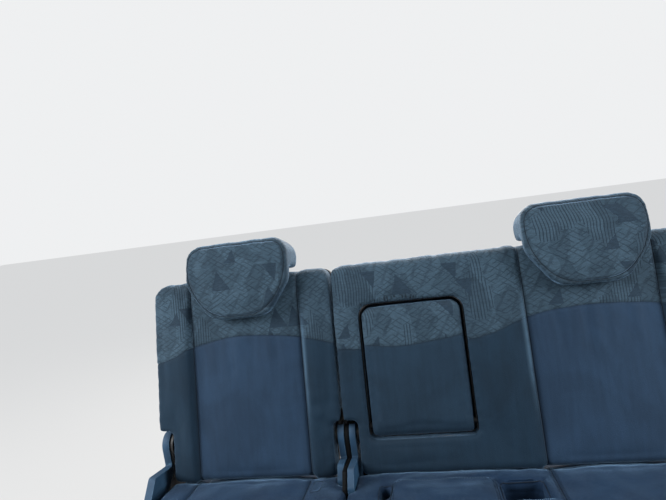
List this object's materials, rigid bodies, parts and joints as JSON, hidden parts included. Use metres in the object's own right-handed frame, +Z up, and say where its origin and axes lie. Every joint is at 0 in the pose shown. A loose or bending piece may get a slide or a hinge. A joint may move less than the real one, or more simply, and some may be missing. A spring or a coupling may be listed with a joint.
{
  "type": "split-folding rear bench seat",
  "caption": "Second-row family-car bench in two halves, with reclining, folding backs, tumbling bases, sliding head restraints and a centre armrest that folds down.",
  "frame": {"origin": "on the floor, under the middle of the bench's bounding box", "axes": "+X across the bench towards the wide half's outer side, +Y to the rear, +Z up; the seat faces -Y"},
  "size_m": [1.344, 0.7161, 0.9197],
  "materials": {
    "cushion_cloth": "plain plush, navy",
    "back_cloth": "plain plush below, woven pattern above",
    "headrest_cloth": "woven pattern",
    "armrest_cloth": "plain plush, slate blue",
    "well_lining": "dark felt",
    "panel_carpet": "needle felt carpet",
    "frame_steel": "satin black",
    "anchor_steel": "satin black",
    "post_steel": "bright",
    "trim_plastic": "fine grain, blue-grey",
    "guide_plastic": "fine grain",
    "lever_plastic": "fine grain"
  },
  "bodies": {
    "anchors": {"narrow_front_bracket": "anchor_steel", "narrow_rear_striker": "anchor_steel", "centre_front_bracket": "anchor_steel", "centre_rear_striker": "anchor_steel", "wide_front_bracket": "anchor_steel", "wide_rear_striker": "anchor_steel"},
    "armrest": {"armrest_pad": "armrest_cloth", "armrest_hinge": "post_steel"},
    "narrow_base": {"narrow_cushion": "cushion_cloth", "narrow_cushion_pan": "frame_steel", "narrow_front_legs": "frame_steel", "narrow_rear_legs": "frame_steel", "narrow_recliner": "frame_steel", "narrow_recliner_cover": "trim_plastic", "narrow_hinge": "frame_steel", "narrow_hinge_tower": "trim_plastic", "narrow_recline_lever": "lever_plastic"},
    "narrow_back": {"narrow_back_cushion": "back_cloth", "narrow_back_frame": "frame_steel", "narrow_back_panel": "panel_carpet", "narrow_headrest_guides": "guide_plastic"},
    "narrow_headrest": {"narrow_headrest_pad": "headrest_cloth", "narrow_headrest_posts": "post_steel"},
    "wide_base": {"wide_cushion": "cushion_cloth", "wide_cushion_pan": "frame_steel", "wide_front_legs": "frame_steel", "wide_rear_legs": "frame_steel", "wide_recliner": "frame_steel", "wide_recliner_cover": "trim_plastic", "wide_hinge": "frame_steel", "wide_hinge_tower": "trim_plastic", "wide_recline_lever": "lever_plastic"},
    "wide_back": {"wide_back_cushion": "back_cloth", "wide_back_frame": "frame_steel", "wide_back_panel": "panel_carpet", "wide_headrest_guides": "guide_plastic", "armrest_well": "well_lining"},
    "wide_headrest": {"wide_headrest_pad": "headrest_cloth", "wide_headrest_posts": "post_steel"}
  },
  "joints": [
    {"name": "narrow_tumble", "type": "hinge", "parent": "anchors", "child": "narrow_base", "pos_m": [-0.42, -0.293, 0.07], "axis": [-1, 0, 0], "range_deg": [-88, 0]},
    {"name": "narrow_recline", "type": "hinge", "parent": "narrow_base", "child": "narrow_back", "pos_m": [-0.42, 0.20247, 0.41046], "axis": [-1, 0, 0], "range_deg": [-93, 20]},
    {"name": "narrow_headrest_slide", "type": "slide", "parent": "narrow_back", "child": "narrow_headrest", "axis": [0, 0.2588, 0.9659], "range_m": [0, 0.06]},
    {"name": "wide_tumble", "type": "hinge", "parent": "anchors", "child": "wide_base", "pos_m": [0.25, -0.293, 0.07], "axis": [-1, 0, 0], "range_deg": [-88, 0]},
    {"name": "wide_recline", "type": "hinge", "parent": "wide_base", "child": "wide_back", "pos_m": [0.25, 0.20247, 0.41046], "axis": [-1, 0, 0], "range_deg": [-93, 20]},
    {"name": "wide_headrest_slide", "type": "slide", "parent": "wide_back", "child": "wide_headrest", "axis": [0, 0.2588, 0.9659], "range_m": [0, 0.06]},
    {"name": "armrest_fold", "type": "hinge", "parent": "wide_back", "child": "armrest", "pos_m": [0.005, 0.18543, 0.43573], "axis": [1, 0, 0], "range_deg": [0, 100]}
  ]
}
